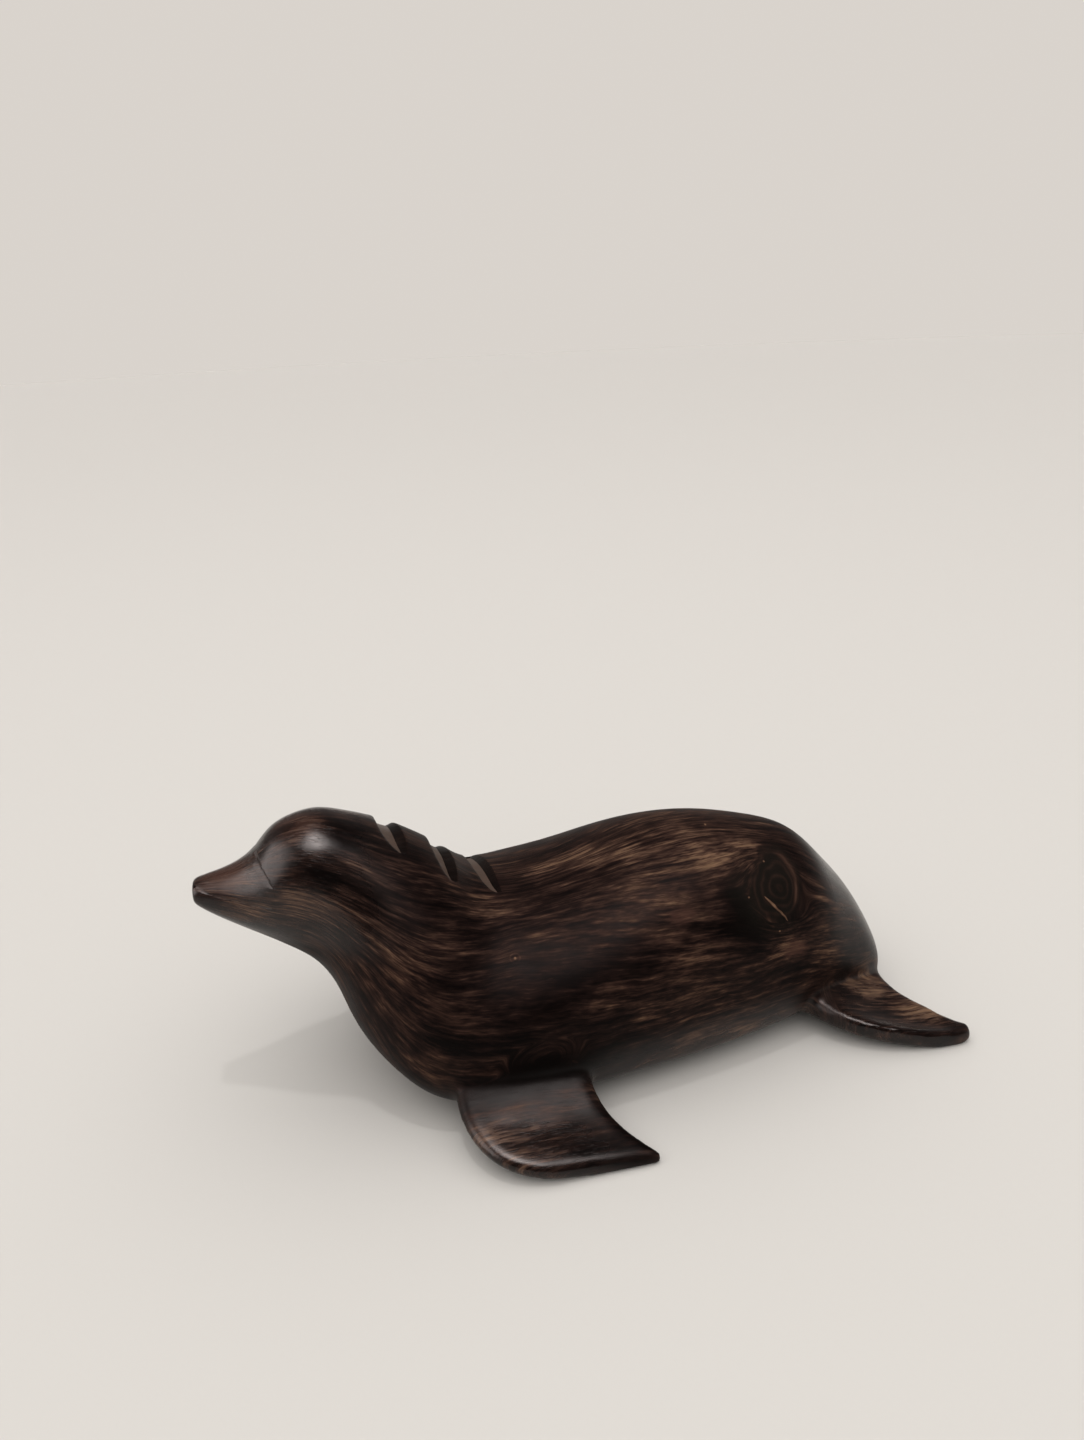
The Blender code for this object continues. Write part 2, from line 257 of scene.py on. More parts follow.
# Each notch's faces are marked for painted light and shade: 1 on the floor, which is painted pale
# as a painted highlight, and -1 on the steep walls, which are painted near-black as painted shade.
notch_floors = BVHTree.FromPolygons(floor_corners, floor_strips)
notch_light_shade = seal.data.attributes.new("notch_light_shade", "FLOAT", "FACE")
knifed = np.zeros(len(seal.data.vertices), bool)
for face in seal.data.polygons:
    under = sanded_skin.find_nearest(face.center)[3]
    if under > CARVED_UNDER * MM:
        knifed[list(face.vertices)] = True
        if face.center.x > place(CARVED_FROM, 0.0, 0.0).x * MM:
            on_floor = notch_floors.find_nearest(face.center)[3] < NEAR_FLOOR * MM
            notch_light_shade.data[face.index].value = 1.0 if on_floor else -1.0

# Only the knife's edges are crisp. Sanded edges stay soft, however steep they are.
seal.data.shade_smooth()
seal.data.set_sharp_from_angle(angle=math.radians(CRISP_ANGLE))
seal_edges = np.empty(len(seal.data.edges) * 2, np.int64)
seal.data.edges.foreach_get("vertices", seal_edges)
sharp_edges = np.empty(len(seal.data.edges), bool)
seal.data.attributes["sharp_edge"].data.foreach_get("value", sharp_edges)
sharp_edges &= knifed[seal_edges.reshape(-1, 2)].all(axis=1)
seal.data.attributes["sharp_edge"].data.foreach_set("value", sharp_edges)
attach(seal, "root")
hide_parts("seal_figurine")

# The wood. It is a heartwood that is nearly black, with wavy brown figure and golden flecks in
# patches, and one large knot on the left flank that the grain flows round. Oil and rubbing give
# it a satin sheen. Every pattern is solid, so it runs through the carving as real grain does.
# The tones of the figure, from its dark ground to its golden flecks.
WOOD_TONES = (
    (0.16, (0.0022, 0.0009, 0.0007, 1.0)),
    (0.34, (0.0100, 0.0045, 0.0034, 1.0)),
    (0.50, (0.0290, 0.0140, 0.0098, 1.0)),
    (0.66, (0.0700, 0.0370, 0.0235, 1.0)),
    (0.90, (0.1500, 0.0850, 0.0500, 1.0)),
)
KNOT_TONE = (0.0080, 0.0070, 0.0052, 1.0)
# The notch floors' pale tone is a painted highlight, and the notch walls' near-black is painted
# shade.
NOTCH_FLOOR_PAINTED_LIGHT = (0.1050, 0.0720, 0.0560, 1.0)
NOTCH_WALL_PAINTED_SHADE = (0.0030, 0.0014, 0.0010, 1.0)
RED_TONE = (0.0560, 0.0250, 0.0180, 1.0)
# Reddish patches: the middle, the reach along, across and up, and the strength.
RED_PATCHES = (
    ((150.0, 28.0, 29.0), (5.0, 7.0, 3.0), 0.75),
    ((119.5, 27.5, 44.5), (3.6, 5.0, 2.6), 0.6),
    ((7.0, 2.0, 61.5), (9.0, 8.0, 4.5), 0.75),
    ((24.0, 4.0, 74.0), (11.0, 9.0, 5.0), 0.4),
)
# How the grain wanders and ripples: the period and the reach, along, outwards and round.
WANDER_PERIOD, WANDER = (55.0, 30.0, 30.0), (0.0, 7.0, 7.0)
RIPPLE_PERIOD, RIPPLE = (9.0, 6.0, 6.0), (0.4, 1.0, 1.0)
# The knot, how its rings are drawn out and spaced, the halo in front of it, and its crack.
KNOT = (148.6, 21.2, 44.4)
KNOT_RADIUS = 8.0
KNOT_STRETCH = (0.80, 0.0, 1.0)
KNOT_RING = 1.75
KNOT_CORE = 0.60
KNOT_HALO = ((144.0, 22.5, 43.5), (11.5, 14.0, 11.5))
CRACK = ((143.4, 23.2, 43.8), (149.8, 25.8, 36.6))
CRACK_WIDTH = 0.42
# The heart of the grain: its height under the head, the body and the tail, and where behind the
# nose it comes down from one to the next.
HEART_HEIGHTS = (58.0, 29.0, 15.0)
NECK_SPAN, RUMP_SPAN = (22.0, 76.0), (145.0, 192.0)
RING_RADIUS = 26.0
# Where the grain climbs behind the cheek towards the notches, and how far round it goes.
CLIMB_SPAN, CLIMB = (46.0, 78.0), 8.0
# Where the bent grain passes into straight grain: far from the middle, in the sole, and in the
# low part of the tail, behind a place and under a height.
FLIPPER_SPAN, SOLE_SPAN = (40.0, 43.0), (3.0, 6.0)
TAIL_SPAN, LOW_TAIL_SPAN = (160.0, 164.0), (13.0, 16.0)
# Patches of the figure, and a few of painted sheen and painted shade, marked below: the middle, the
# reach along, across and up, and how much lighter.
FIGURE_AND_PAINTED_LIGHT_PATCHES = (
    ((26.0, 15.0, 56.5), (11.0, 12.0, 6.0), 0.19),
    ((12.5, 9.0, 54.0), (9.0, 9.0, 4.0), 0.24),
    ((29.0, 5.0, 73.0), (5.0, 7.0, 4.0), 0.12),
    ((47.0, 27.0, 43.0), (14.0, 12.0, 7.0), 0.11),
    ((72.5, 14.0, 46.5), (7.0, 13.0, 7.0), 0.13),
    ((90.0, 3.0, 48.0), (7.0, 8.0, 4.0), 0.15),
    ((101.5, 1.0, 51.0), (7.0, 7.0, 3.5), 0.14),
    ((9.0, 4.0, 61.0), (9.0, 9.0, 5.0), 0.16),
    ((112.0, 7.5, 53.0), (5.0, 6.0, 3.0), 0.15),
    ((116.0, 25.5, 46.0), (11.0, 9.0, 6.5), 0.12),
    ((133.0, 15.0, 52.5), (9.0, 9.0, 5.0), 0.15),
    ((145.0, 11.0, 52.5), (5.0, 6.0, 4.0), 0.15),
    ((122.0, 33.0, 33.0), (12.0, 10.0, 9.0), 0.11),
    ((98.0, 37.0, 32.0), (6.0, 9.0, 5.0), 0.17),
    ((107.0, 38.0, 25.5), (6.0, 9.0, 3.5), 0.17),
    ((148.0, 28.5, 29.5), (6.0, 8.0, 4.0), 0.34),
    ((161.0, 25.0, 25.0), (8.0, 9.0, 8.0), 0.12),
    ((176.0, 21.0, 8.5), (10.0, 9.0, 7.0), 0.26),
    ((187.0, 32.0, 4.5), (11.0, 9.0, 6.0), 0.28),
    ((64.0, 52.0, 10.0), (16.0, 10.0, 6.0), 0.17),
    ((60.0, -20.0, 45.0), (14.0, 12.0, 8.0), 0.13),
    ((105.0, -28.0, 40.0), (16.0, 12.0, 7.0), 0.15),
    ((140.0, -26.0, 30.0), (14.0, 12.0, 9.0), 0.13),
    ((84.0, -52.0, 8.0), (16.0, 9.0, 5.0), 0.13),
    ((135.5, 22.5, 45.0), (6.5, 12.0, 9.5), -0.24),
    ((138.5, 28.0, 36.5), (5.0, 12.0, 7.0), -0.17),
    ((31.0, 15.5, 62.5), (6.0, 9.0, 4.5), -0.20),
    ((38.0, 9.0, 69.5), (9.0, 8.0, 4.0), -0.13),
    ((92.0, 36.0, 36.0), (15.0, 12.0, 6.0), -0.10),
    # This row is painted shade: it darkens the hollow where the tail leaves the body.
    ((169.0, 24.0, 14.0), (3.0, 9.0, 6.0), -0.20),
    ((96.0, 58.0, 4.0), (18.0, 12.0, 9.0), -0.13),
    # This row is a painted sheen: it lightens the top of the back.
    ((120.0, 0.0, 60.0), (52.0, 30.0, 15.0), 0.11),
    ((88.0, 38.0, 28.0), (34.0, 14.0, 18.0), -0.07),
    # This row is partly the wood's own dark patch and partly painted shade under the flank's
    # overhang, above the front flipper's root.
    ((76.0, 42.0, 14.0), (21.0, 6.0, 6.0), -0.34),
    ((185.0, 42.0, 4.0), (12.0, 3.0, 4.0), -0.14),
)
# The marks of knocks: each scratch's two ends and its width, and a dent left by a ring.
SCRATCHES = (
    ((80.5, 33.2, 36.8), (86.0, 33.0, 36.2), 0.10),
    ((86.8, 40.2, 16.6), (88.5, 40.4, 15.4), 0.40),
    ((73.0, 31.0, 31.5), (76.0, 32.0, 30.5), 0.12),
)
RING_DENT = (76.3, 27.2, 39.9)
RING_DENT_RADIUS = 1.25
DENT_EDGE, DENT_STRENGTH = (0.08, 0.32), 0.6
# How rough and how glossy the handled wood is, and the flanks, and which places besides the head
# are handled: the middle, and the reach along, across and up.
HEAD_ROUGHNESS, FLANK_ROUGHNESS = 0.22, 0.50
HEAD_GLOSS, FLANK_GLOSS = 0.32, 0.06
HANDLED = (
    ((70.0, 58.0, 6.0), (34.0, 16.0, 12.0)),
    ((180.0, 32.0, 6.0), (28.0, 22.0, 14.0)),
    ((180.0, 8.0, 32.0), (24.0, 26.0, 30.0)),
    ((112.0, 25.0, 5.0), (80.0, 40.0, 15.0)),
)
# Pale specks of grit in the pores.
SPECK_SIZE = (0.35, 0.5, 0.3)
PALE_SPECKS = (
    (146.6, 27.4, 35.1), (139.2, 23.9, 44.5), (146.8, 15.3, 49.3),
    (135.2, 1.9, 55.4), (76.3, 27.2, 39.9),
)
# The soft edges of a patch and of a scratch, and how thin a scratch's tips are.
PATCH_EDGE, SCRATCH_EDGE, SCRATCH_TIP = (0.25, 1.25), (0.5, 1.3), 0.05
# Which inputs of a Mix node take the first and the second, and which output gives the result.
MIX_SOCKETS = {"FLOAT": (2, 3, 0), "VECTOR": (4, 5, 1), "RGBA": (6, 7, 2)}


def node(tree, kind, inputs=None, **settings):
    """Add a shader node. An input is a number or a colour, or the socket that feeds it."""
    made = tree.nodes.new(kind)
    for name, value in settings.items():
        setattr(made, name, value)
    for key, value in (inputs or {}).items():
        if isinstance(value, bpy.types.NodeSocket):
            tree.links.new(value, made.inputs[key])
        else:
            made.inputs[key].default_value = value
    return made


def calculate(tree, operation, *values, clamp=False):
    """One step of arithmetic on numbers or sockets."""
    inputs = dict(enumerate(values))
    return node(tree, "ShaderNodeMath", inputs, operation=operation, use_clamp=clamp).outputs[0]


def move(tree, operation, *values):
    """One step of arithmetic on vectors or sockets."""
    made = node(tree, "ShaderNodeVectorMath", dict(enumerate(values)), operation=operation)
    return made.outputs["Value" if operation in ("LENGTH", "DOT_PRODUCT") else "Vector"]


def mixed(tree, kind, mask, first, second, **settings):
    """The first number, vector or colour where the mask is 0, the second where it is 1."""
    low, high, result = MIX_SOCKETS[kind]
    keys = {0: mask, low: first, high: second}
    return node(tree, "ShaderNodeMix", keys, data_type=kind, **settings).outputs[result]


def ease(tree, value, low, high, start=0.0, end=1.0):
    """Go softly from start to end while the value goes from low to high."""
    keys = {"Value": value, "From Min": low, "From Max": high, "To Min": start, "To Max": end}
    return node(tree, "ShaderNodeMapRange", keys, interpolation_type="SMOOTHSTEP").outputs[0]


def noise(tree, point, period, detail=2.0, roughness=0.5):
    """Noise from 0 to 1 whose period in millimetres is given along, across and up."""
    keys = {
        "Vector": move(tree, "DIVIDE", point, period),
        "Scale": 1.0,
        "Detail": detail,
        "Roughness": roughness,
    }
    return node(tree, "ShaderNodeTexNoise", keys)


def displaced(tree, point, period, amount):
    """The point moved about by noise."""
    shift = move(tree, "SUBTRACT", noise(tree, point, period, 1.0).outputs["Color"], (0.5, 0.5, 0.5))
    return move(tree, "ADD", point, move(tree, "MULTIPLY", shift, amount))


def patch(tree, point, middle, size):
    """A soft-edged egg-shaped mask: 1 in its middle, 0 outside."""
    away = move(tree, "DIVIDE", move(tree, "SUBTRACT", point, middle), size)
    return ease(tree, move(tree, "LENGTH", away), *PATCH_EDGE, 1.0, 0.0)


def scratch(tree, point, start, end, width):
    """A mask of a line from start to end that is widest half way."""
    whole = end - start
    offset = move(tree, "SUBTRACT", point, start)
    share = move(tree, "DOT_PRODUCT", offset, whole)
    share = calculate(tree, "DIVIDE", share, whole.length_squared, clamp=True)
    keys = {0: whole, "Scale": share}
    nearest = node(tree, "ShaderNodeVectorMath", keys, operation="SCALE").outputs["Vector"]
    gap = move(tree, "LENGTH", move(tree, "SUBTRACT", offset, nearest))
    taper = calculate(tree, "MULTIPLY", share, calculate(tree, "SUBTRACT", 1.0, share))
    taper = calculate(tree, "MULTIPLY_ADD", taper, 4.0 * width, SCRATCH_TIP)
    return ease(tree, calculate(tree, "DIVIDE", gap, taper), *SCRATCH_EDGE, 1.0, 0.0)


wood = bpy.data.materials.new("Desert hardwood, oiled")
wood.use_nodes = True
tree = wood.node_tree
tree.nodes.clear()
output = node(tree, "ShaderNodeOutputMaterial")
shader = node(tree, "ShaderNodeBsdfPrincipled")
tree.links.new(shader.outputs[0], output.inputs["Surface"])

# The block in millimetres. In the body the grain follows the bent branch that the piece was sawn
# from, so a point is known by how far along, how far out and how far round the heart it lies. In
# the flippers and the sole it runs straight along.
object_point = node(tree, "ShaderNodeTexCoord").outputs["Object"]
block = move(tree, "DIVIDE", object_point, (MM, MM, MM))
block_along, block_across, block_up = node(tree, "ShaderNodeSeparateXYZ", {0: block}).outputs
behind_nose = calculate(tree, "SUBTRACT", block_along, place(0.0, 0.0, 0.0).x)
head_heart, body_heart, tail_heart = HEART_HEIGHTS
heart = ease(tree, behind_nose, *NECK_SPAN, head_heart - body_heart, 0.0)
heart_behind = ease(tree, behind_nose, *RUMP_SPAN, body_heart, tail_heart)
heart = calculate(tree, "ADD", heart, heart_behind)
above_heart = calculate(tree, "SUBTRACT", block_up, heart)
left_side = calculate(tree, "MULTIPLY", block_across, -1.0)
outwards = calculate(tree, "SQRT", calculate(
    tree, "MULTIPLY_ADD", left_side, left_side, calculate(tree, "MULTIPLY", above_heart, above_heart)
))
climb = ease(tree, behind_nose, *CLIMB_SPAN, 0.0, CLIMB)
round_heart = calculate(tree, "ARCTAN2", left_side, above_heart)
round_heart = calculate(tree, "MULTIPLY_ADD", round_heart, RING_RADIUS, climb)
bent = node(tree, "ShaderNodeCombineXYZ", {0: block_along, 1: outwards, 2: round_heart}).outputs[0]
low_tail = ease(tree, behind_nose, *TAIL_SPAN)
low_tail = calculate(tree, "MULTIPLY", low_tail, ease(tree, block_up, *LOW_TAIL_SPAN, 1.0, 0.0))
in_flipper = ease(tree, calculate(tree, "ABSOLUTE", block_across), *FLIPPER_SPAN)
straight = calculate(tree, "MAXIMUM", in_flipper, low_tail)
straight = calculate(tree, "MAXIMUM", straight, ease(tree, block_up, *SOLE_SPAN, 1.0, 0.0))
flat = node(tree, "ShaderNodeCombineXYZ", {0: block_along, 1: block_up, 2: block_across}).outputs[0]
grain = mixed(tree, "VECTOR", straight, bent, flat)
grain = displaced(tree, grain, WANDER_PERIOD, WANDER)
grain = displaced(tree, grain, RIPPLE_PERIOD, RIPPLE)

# The knot's branch ran out through the left flank. The grain parts round it as a stream does.
KNOT_SHAKE_PERIOD, KNOT_SHAKE = (6.0, 6.0, 6.0), (2.6, 2.6, 2.6)
LEFT_SPAN = (-10.0, -2.0)

knot_along, knot_across, knot_up = place(*KNOT)
knot_up -= body_heart
knot_round = math.atan2(-knot_across, knot_up) * RING_RADIUS + CLIMB
knot_grain = (knot_along, math.hypot(knot_across, knot_up), knot_round)
from_knot = move(tree, "SUBTRACT", grain, knot_grain)
along, out, up = node(tree, "ShaderNodeSeparateXYZ", {0: from_knot}).outputs
left_half = ease(tree, block_across, *LEFT_SPAN, 1.0, 0.0)
up_squared = calculate(tree, "MULTIPLY", up, up)
gap = calculate(tree, "SQRT", calculate(tree, "MULTIPLY_ADD", along, along, up_squared))
reach = calculate(tree, "MAXIMUM", gap, KNOT_RADIUS)
parting = calculate(tree, "DIVIDE", KNOT_RADIUS ** 2, calculate(tree, "MULTIPLY", reach, reach))
parting = calculate(tree, "MULTIPLY", parting, left_half)
stream = node(tree, "ShaderNodeCombineXYZ", {
    0: calculate(tree, "MULTIPLY", along, calculate(tree, "ADD", parting, 1.0)),
    1: out,
    2: calculate(tree, "MULTIPLY", up, calculate(tree, "SUBTRACT", 1.0, parting)),
}).outputs[0]
knot_offset = displaced(tree, block, KNOT_SHAKE_PERIOD, KNOT_SHAKE)
knot_offset = move(tree, "SUBTRACT", knot_offset, place(*KNOT))
around = move(tree, "LENGTH", move(tree, "MULTIPLY", knot_offset, KNOT_STRETCH))
behind_knot = node(tree, "ShaderNodeSeparateXYZ", {0: knot_offset}).outputs[0]

# Figure: a plain dark ground with wavy lines and short flecks, rich in some patches and faint
# elsewhere. Everything is drawn out along the stream. A period is along, outwards and round.
BAND_PERIOD, BAND_SHARE = (50.0, 11.0, 9.0), 0.35
LINE_PERIOD, LINE_SHARE = (12.0, 9.0, 1.15), 1.05
FLECK_PERIOD, FLECK_SHARE = (3.2, 2.0, 0.50), 0.45
MOTTLE_PERIOD, MOTTLE_SHARE = (14.0, 7.0, 6.0), 0.45
GROUND = 0.37
FAINTEST, RICHER = -0.15, 2.0
# The patches' edges are torn: broadly, then finely.
TEAR_PERIOD, TEAR = (9.0, 5.0, 5.0), (8.0, 5.0, 5.0)
FRAY_PERIOD, FRAY = (3.0, 1.2, 1.2), (3.0, 1.6, 1.6)

bands = noise(tree, stream, BAND_PERIOD, 2.0, 0.5).outputs[0]
lines = noise(tree, stream, LINE_PERIOD, 3.0, 0.6).outputs[0]
flecks = noise(tree, stream, FLECK_PERIOD, 2.0, 0.6).outputs[0]
mottle = noise(tree, stream, MOTTLE_PERIOD, 3.0, 0.6).outputs[0]
ragged = displaced(tree, displaced(tree, block, TEAR_PERIOD, TEAR), FRAY_PERIOD, FRAY)
lighter = calculate(tree, "MULTIPLY", calculate(tree, "SUBTRACT", bands, 0.5), BAND_SHARE)
mottling = calculate(tree, "SUBTRACT", mottle, 0.5)
lighter = calculate(tree, "MULTIPLY_ADD", mottling, MOTTLE_SHARE, lighter)
for middle, size, amount in FIGURE_AND_PAINTED_LIGHT_PATCHES:
    mask = patch(tree, ragged, place(*middle), size)
    lighter = calculate(tree, "MULTIPLY_ADD", mask, amount, lighter)
richness = calculate(tree, "MAXIMUM", lighter, FAINTEST)
richness = calculate(tree, "MULTIPLY_ADD", richness, RICHER, 1.0)
stroke = calculate(tree, "MULTIPLY", calculate(tree, "SUBTRACT", lines, 0.5), LINE_SHARE)
flecking = calculate(tree, "SUBTRACT", flecks, 0.5)
stroke = calculate(tree, "MULTIPLY_ADD", flecking, FLECK_SHARE, stroke)
ground = calculate(tree, "ADD", lighter, GROUND)
figure = calculate(tree, "MULTIPLY_ADD", stroke, richness, ground)

# Inside the knot the figure gives way to dark rings, with one pale arc on its rear side.
RING_SWING, RING_GROUND = 0.09, 0.34
ARC_AT, ARC_PALENESS = 0.62, 0.26
ARC_EDGE, REAR_SPAN = (0.1, 0.8), (1.5, 4.5)

rings = calculate(tree, "SINE", calculate(tree, "MULTIPLY", around, 2 * math.pi / KNOT_RING))
rings = calculate(tree, "MULTIPLY_ADD", rings, RING_SWING, RING_GROUND)
in_knot = ease(tree, around, KNOT_RADIUS * KNOT_CORE, KNOT_RADIUS, 1.0, 0.0)
in_knot = calculate(tree, "MULTIPLY", in_knot, left_half)
figure = mixed(tree, "FLOAT", in_knot, figure, rings)
pale_arc = calculate(tree, "SUBTRACT", around, KNOT_RADIUS * ARC_AT)
pale_arc = ease(tree, calculate(tree, "ABSOLUTE", pale_arc), *ARC_EDGE, 1.0, 0.0)
rear_half = calculate(tree, "MULTIPLY", ease(tree, behind_knot, *REAR_SPAN), left_half)
pale_arc = calculate(tree, "MULTIPLY", pale_arc, rear_half)
figure = calculate(tree, "MULTIPLY_ADD", pale_arc, ARC_PALENESS, figure)

# The crack beside the knot's heart, pale specks of grit in the pores, and the marks of knocks.
CRACK_SHAKE_PERIOD, CRACK_SHAKE = (3.0, 3.0, 3.0), (1.6, 0.0, 1.6)
CRACK_PALENESS, SPECK_PALENESS, MARK_PALENESS = 0.45, 0.5, 0.16

crack_point = displaced(tree, block, CRACK_SHAKE_PERIOD, CRACK_SHAKE)
crack = scratch(tree, crack_point, place(*CRACK[0]), place(*CRACK[1]), CRACK_WIDTH)
figure = calculate(tree, "MULTIPLY_ADD", crack, CRACK_PALENESS, figure)
for speck in PALE_SPECKS:
    mask = patch(tree, block, place(*speck), SPECK_SIZE)
    figure = calculate(tree, "MULTIPLY_ADD", mask, SPECK_PALENESS, figure)
marks = 0.0
for start, end, width in SCRATCHES:
    line = scratch(tree, block, place(*start), place(*end), width)
    marks = calculate(tree, "ADD", line, marks)
ring_gap = move(tree, "LENGTH", move(tree, "SUBTRACT", block, place(*RING_DENT)))
ring_gap = calculate(tree, "ABSOLUTE", calculate(tree, "SUBTRACT", ring_gap, RING_DENT_RADIUS))
marks = calculate(tree, "ADD", ease(tree, ring_gap, *DENT_EDGE, DENT_STRENGTH, 0.0), marks)
figure = calculate(tree, "MULTIPLY_ADD", marks, MARK_PALENESS, figure)

# The colours: the tones by the figure, streaked by fine fibres, then the reddish patches, the
# greenish dark of the knot, and in the notches a painted highlight on the floors and painted shade on
# the walls.
FIBRE_PERIOD, FIBRE_SPAN, FIBRE_TONES = (7.0, 2.0, 0.22), (0.30, 0.70), (0.70, 1.30)
# Red is fainter in dark figure, and the knot's green fades out in light figure.
RED_SPAN, RED_LEAST = (0.20, 0.45), 0.35
GREEN_SPAN, GREEN_MOST = (0.34, 0.54), 0.65
# The notch floor's painted highlight and the notch walls' painted shade: where each mark starts and
# is full, its tone, and its strength.
NOTCH_PAINTED_LIGHT_SHADE = ((0.2, 0.8, NOTCH_FLOOR_PAINTED_LIGHT, 0.65), (-0.2, -0.8, NOTCH_WALL_PAINTED_SHADE, 0.85))

tones = node(tree, "ShaderNodeValToRGB", {0: figure})
while len(tones.color_ramp.elements) < len(WOOD_TONES):
    tones.color_ramp.elements.new(0.5)
for stop, (position, tone) in zip(tones.color_ramp.elements, WOOD_TONES):
    stop.position, stop.color = position, tone
fibres = noise(tree, stream, FIBRE_PERIOD, 1.0).outputs[0]
fibres = ease(tree, fibres, *FIBRE_SPAN, *FIBRE_TONES)
fibre_tone = node(tree, "ShaderNodeCombineColor", {0: fibres, 1: fibres, 2: fibres}).outputs[0]
colour = mixed(tree, "RGBA", 1.0, tones.outputs[0], fibre_tone, blend_type="MULTIPLY")
for middle, size, amount in RED_PATCHES:
    mask = calculate(tree, "MULTIPLY", patch(tree, ragged, place(*middle), size), amount)
    mask = calculate(tree, "MULTIPLY", mask, ease(tree, figure, *RED_SPAN, RED_LEAST, 1.0))
    colour = mixed(tree, "RGBA", mask, colour, RED_TONE)
halo_middle, halo_size = KNOT_HALO
halo = calculate(tree, "MAXIMUM", in_knot, patch(tree, ragged, place(*halo_middle), halo_size))
green = calculate(tree, "MULTIPLY", halo, ease(tree, figure, *GREEN_SPAN, GREEN_MOST, 0.0))
colour = mixed(tree, "RGBA", green, colour, KNOT_TONE)
notch_light_shade_mark = node(tree, "ShaderNodeAttribute", attribute_name="notch_light_shade").outputs["Fac"]
for low, high, tone, amount in NOTCH_PAINTED_LIGHT_SHADE:
    mask = ease(tree, notch_light_shade_mark, low, high, 0.0, amount)
    colour = mixed(tree, "RGBA", mask, colour, tone)
tree.links.new(colour, shader.inputs["Base Color"])

# The head and the flippers are rubbed smoother than the flanks, because hands hold them there.
# The head is what lies in front of the cheek's span and above the head's.
CHEEK_SPAN, HEAD_SPAN = (34.0, 60.0), (38.0, 52.0)
MOTTLE_ROUGHNESS, PALE_ROUGHNESS = 0.25, 0.06
PALE_SPAN = (0.35, 0.75)

handled = ease(tree, behind_nose, *CHEEK_SPAN, 1.0, 0.0)
handled = calculate(tree, "MULTIPLY", handled, ease(tree, block_up, *HEAD_SPAN))
for middle, size in HANDLED:
    handled = calculate(tree, "MAXIMUM", handled, patch(tree, block, place(*middle), size))
polish = ease(tree, handled, 0.0, 1.0, FLANK_ROUGHNESS, HEAD_ROUGHNESS)
gloss = ease(tree, handled, 0.0, 1.0, FLANK_GLOSS, HEAD_GLOSS)
tree.links.new(gloss, shader.inputs["Specular IOR Level"])
rubbed = calculate(tree, "MULTIPLY_ADD", mottling, MOTTLE_ROUGHNESS, polish)
pale_wood = ease(tree, figure, *PALE_SPAN)
rubbed = calculate(tree, "MULTIPLY_ADD", pale_wood, PALE_ROUGHNESS, rubbed)
tree.links.new(rubbed, shader.inputs["Roughness"])

# Open pores, a few hundredths of a millimetre deep, and the split along the crack. A depth is a
# multiple of a pore's.
PORE_PERIOD, PORE_SPAN = (3.2, 1.5, 0.24), (0.58, 0.72)
PORE_DEPTH, CRACK_DEPTH, MARK_DEPTH = 0.03, 4.0, 2.5
RELIEF = 0.35

pores = ease(tree, noise(tree, stream, PORE_PERIOD, 1.0).outputs[0], *PORE_SPAN)
hollows = calculate(tree, "MULTIPLY", pores, -1.0)
hollows = calculate(tree, "MULTIPLY_ADD", crack, -CRACK_DEPTH, hollows)
hollows = calculate(tree, "MULTIPLY_ADD", marks, -MARK_DEPTH, hollows)
relief_inputs = {"Strength": RELIEF, "Distance": PORE_DEPTH * MM, "Height": hollows}
relief = node(tree, "ShaderNodeBump", relief_inputs)
tree.links.new(relief.outputs[0], shader.inputs["Normal"])
seal.data.materials.clear()
seal.data.materials.append(wood)

# The floor is a plain board, painted a pale matt tone, and runs out to the horizon. There the
# background takes over in the colour that the board has far away, so its edge hardly shows.
FLOOR_RADIUS = 4000.0
FLOOR_SIDES = 96
FLOOR_COLOUR = (0.630, 0.604, 0.575, 1.0)
FLOOR_ROUGHNESS, FLOOR_GLOSS = 0.7, 0.1

floor_mesh = bpy.data.meshes.new("floor")
bm = bmesh.new()
bmesh.ops.create_circle(bm, cap_ends=True, segments=FLOOR_SIDES, radius=FLOOR_RADIUS * MM)
bm.to_mesh(floor_mesh)
bm.free()
floor = bpy.data.objects.new("floor", floor_mesh)
bpy.context.scene.collection.objects.link(floor)
board = bpy.data.materials.new("Painted board")
board.use_nodes = True
board_shader = board.node_tree.nodes["Principled BSDF"]
board_shader.inputs["Base Color"].default_value = FLOOR_COLOUR
board_shader.inputs["Roughness"].default_value = FLOOR_ROUGHNESS
board_shader.inputs["Specular IOR Level"].default_value = FLOOR_GLOSS
floor.data.materials.append(board)

# The light is soft and comes from above and all round, with one small lamp nearly overhead that
# draws the figurine's shadow. What the polish mirrors is a dim room: grey walls low down at the
# back and the sides, one bright spot on the left and three overhead. The camera sees a plain
# background in the colour of the far floor.
CEILING_STRENGTH, HORIZON_STRENGTH = 1.45, 0.35
CEILING_SPAN = (0.20, 0.85)
ROOM_COLOUR = (1.0, 0.985, 0.96, 1.0)
LAMP_PLACE, LAMP_SIZE, LAMP_POWER = (-60.0, 30.0, 1400.0), 60.0, 1.8
HORIZON_COLOUR = (0.696, 0.653, 0.6075, 1.0)
MIRRORED_COLOUR = (1.0, 0.90, 0.87, 1.0)
MIRRORED_DIM, MIRRORED_WALL = 0.05, 0.16
# The mirrored walls fade out upwards and towards the camera, by the direction's rise and depth.
WALL_TOP_SPAN, WALL_BACK_SPAN = (0.45, 0.80), (-0.55, 0.15)
# Each mirrored spot: its direction, the cosines at its rim and its core, and its strength.
MIRRORED_SPOTS = (
    ((-0.90, -0.10, 0.42), 0.82, 0.96, 4.0),
    ((-0.15, -0.26, 0.95), 0.95, 0.99, 8.0),
    ((0.07, -0.20, 0.98), 0.955, 0.99, 7.0),
    ((-0.06, 0.04, 1.00), 0.97, 0.995, 3.5),
)

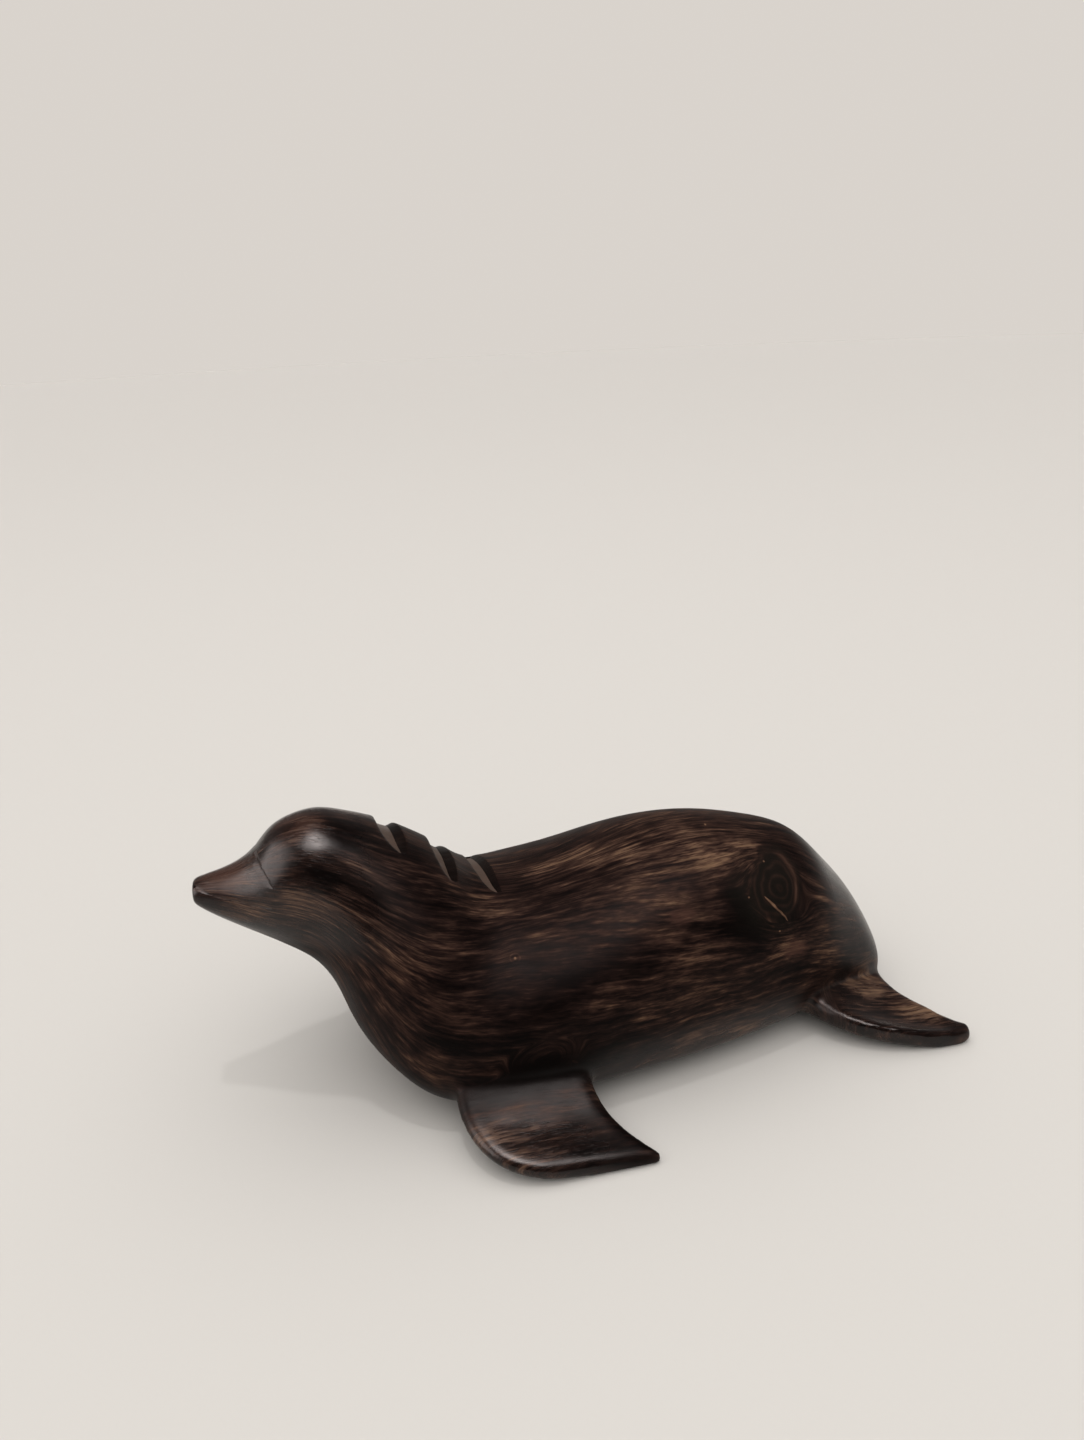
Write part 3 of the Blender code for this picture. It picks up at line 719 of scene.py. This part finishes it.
world = bpy.data.worlds.new("Soft room")
bpy.context.scene.world = world
world.use_nodes = True
sky = world.node_tree
sky.nodes.clear()
direction = node(sky, "ShaderNodeTexCoord").outputs["Generated"]
_, backward, rise = node(sky, "ShaderNodeSeparateXYZ", {0: direction}).outputs
soft = ease(sky, rise, *CEILING_SPAN, HORIZON_STRENGTH, CEILING_STRENGTH)
walls = ease(sky, rise, *WALL_TOP_SPAN, MIRRORED_WALL, 0.0)
walls = calculate(sky, "MULTIPLY", walls, ease(sky, backward, *WALL_BACK_SPAN))
mirrored = calculate(sky, "ADD", walls, MIRRORED_DIM)
for towards, rim, core, power in MIRRORED_SPOTS:
    facing = move(sky, "DOT_PRODUCT", direction, Vector(towards).normalized())
    mirrored = calculate(sky, "ADD", mirrored, ease(sky, facing, rim, core, 0.0, power))
ray = node(sky, "ShaderNodeLightPath").outputs
strength = mixed(sky, "FLOAT", ray["Is Glossy Ray"], soft, mirrored)
strength = mixed(sky, "FLOAT", ray["Is Camera Ray"], strength, 1.0)
room_colour = mixed(sky, "RGBA", ray["Is Glossy Ray"], ROOM_COLOUR, MIRRORED_COLOUR)
room_colour = mixed(sky, "RGBA", ray["Is Camera Ray"], room_colour, HORIZON_COLOUR)
background = node(sky, "ShaderNodeBackground", {"Color": room_colour, "Strength": strength})
sky_output = node(sky, "ShaderNodeOutputWorld")
sky.links.new(background.outputs[0], sky_output.inputs["Surface"])

lamp_data = bpy.data.lights.new("overhead_lamp", "AREA")
lamp_data.shape = "DISK"
lamp_data.size = LAMP_SIZE * MM
lamp_data.energy = LAMP_POWER
lamp = bpy.data.objects.new("overhead_lamp", lamp_data)
lamp.location = Vector(LAMP_PLACE) * MM
lamp.visible_glossy = False
bpy.context.scene.collection.objects.link(lamp)

# The camera stands where the photograph was taken: close, a little ahead of the middle and well
# above the back, and held slightly off level.
CAMERA_BEHIND_NOSE, CAMERA_SIDE, CAMERA_HEIGHT = 44.2, 242.5, 191.1
CAMERA_TURN, CAMERA_DIP, CAMERA_ROLL = 11.0, 22.0, 2.8
CAMERA_LENS, CAMERA_SENSOR = 26.0, 36.0
CAMERA_NEAREST = 10.0

turn, dip, roll = (math.radians(angle) for angle in (CAMERA_TURN, CAMERA_DIP, CAMERA_ROLL))
forward = Vector((math.sin(turn) * math.cos(dip), math.cos(turn) * math.cos(dip), -math.sin(dip)))
level = Vector((math.cos(turn), -math.sin(turn), 0.0))
raised = level.cross(forward)
right = level * math.cos(roll) - raised * math.sin(roll)
upward = raised * math.cos(roll) + level * math.sin(roll)
camera_data = bpy.data.cameras.new("camera")
camera_data.lens = CAMERA_LENS
camera_data.sensor_width = CAMERA_SENSOR
camera_data.clip_start = CAMERA_NEAREST * MM
camera = bpy.data.objects.new("camera", camera_data)
standpoint = place(CAMERA_BEHIND_NOSE, CAMERA_SIDE, CAMERA_HEIGHT) * MM
facing = Matrix((right, upward, -forward)).transposed().to_4x4()
camera.matrix_world = Matrix.Translation(standpoint) @ facing
bpy.context.scene.collection.objects.link(camera)
bpy.context.scene.camera = camera
bpy.context.scene.view_settings.view_transform = "Standard"
